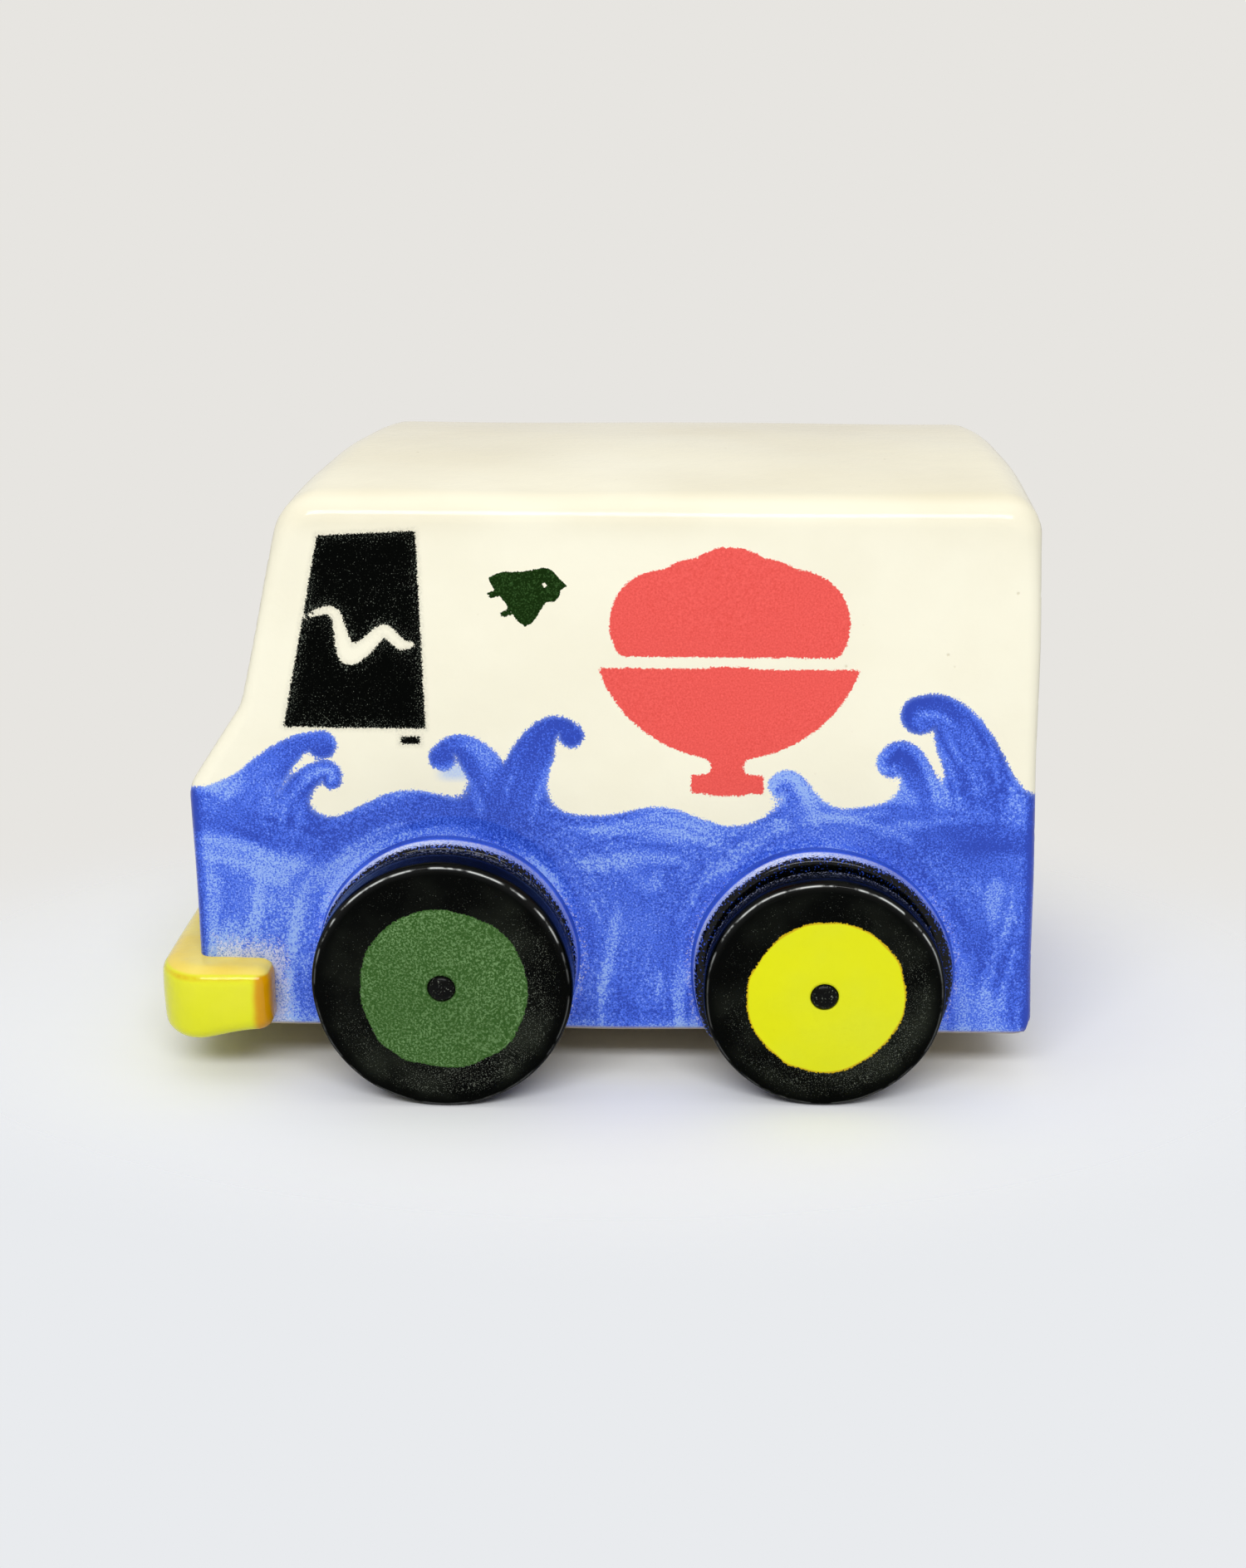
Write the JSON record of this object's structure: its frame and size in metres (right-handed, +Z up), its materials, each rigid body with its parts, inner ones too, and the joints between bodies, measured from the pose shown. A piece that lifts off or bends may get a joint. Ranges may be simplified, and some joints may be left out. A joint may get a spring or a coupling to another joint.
{
  "type": "ceramic model shaved ice truck",
  "caption": "Hand-built glazed ceramic model of a shaved ice truck: rounded slab body with painted waves, a wrap-round bumper and disc wheels that roll on through axles.",
  "frame": {"origin": "on the ground under the middle of the model's bounding box", "axes": "+Z up, the truck's nose towards -X, its left flank towards -Y"},
  "size_m": [0.1548, 0.1166, 0.104],
  "materials": {
    "cream_glaze": "glossy",
    "bare_clay": "matte",
    "blue_glaze": "glossy",
    "black_glaze": "glossy",
    "red_glaze": "glossy",
    "green_glaze": "glossy",
    "dark_green_glaze": "glossy",
    "yellow_glaze": "glossy"
  },
  "bodies": {
    "body": {"flank_left": "cream_glaze", "flank_right": "cream_glaze", "nose_slab": "cream_glaze", "hood_slab": "cream_glaze", "screen_slab": "cream_glaze", "roof_slab": "cream_glaze", "tail_slab": "cream_glaze", "floor_slab": "bare_clay", "bumper": "yellow_glaze", "pad_front": "blue_glaze", "pad_rear": "blue_glaze", "wave_paint": "blue_glaze", "window_paint": "black_glaze", "dish_paint": "red_glaze", "bird_paint": "dark_green_glaze", "head_lamp_paint": "yellow_glaze", "tail_lamp_paint": "red_glaze"},
    "front_wheelset": {"axle_front": "black_glaze", "wheel_front_left": "black_glaze", "wheel_front_right": "black_glaze", "disc_paint_front": "green_glaze"},
    "rear_wheelset": {"axle_rear": "black_glaze", "wheel_rear_left": "black_glaze", "wheel_rear_right": "black_glaze", "disc_paint_rear": "yellow_glaze"}
  },
  "joints": [
    {"name": "front_axle_spin", "type": "hinge", "parent": "body", "child": "front_wheelset", "pos_m": [-0.0257, 0, 0.0224], "axis": [0, -1, 0], "continuous": true},
    {"name": "rear_axle_spin", "type": "hinge", "parent": "body", "child": "rear_wheelset", "pos_m": [0.0396, 0, 0.0208], "axis": [0, -1, 0], "continuous": true}
  ]
}
